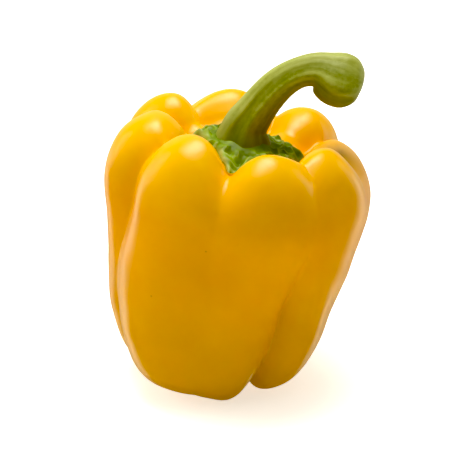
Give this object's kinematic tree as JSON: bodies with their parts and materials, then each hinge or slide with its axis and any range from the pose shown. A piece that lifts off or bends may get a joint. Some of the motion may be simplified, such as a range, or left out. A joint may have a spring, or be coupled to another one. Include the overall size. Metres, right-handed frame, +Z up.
{
  "type": "bell pepper",
  "caption": "Blocky lobed bell pepper with a green calyx set in its crown and a hooked stem, standing upright on its lobe tips.",
  "frame": {"origin": "on the surface that the pepper stands on, at the middle of the whole pepper's box", "axes": "+Z up; +X the way the pepper leans and its stem hooks over; -Y the front, where two shoulder bumps meet in the widest lobe"},
  "size_m": [0.089, 0.0882, 0.1171],
  "materials": {
    "fruit_skin": "smooth waxy yellow skin, softly glossy, slightly translucent at the surface",
    "calyx_green": "crinkled green calyx with pale tips, satin",
    "stem_green": "ribbed green stem, mottled with yellow and brown, satin"
  },
  "bodies": {
    "root": {"fruit": "fruit_skin", "calyx": "calyx_green", "stem": "stem_green"}
  },
  "joints": []
}
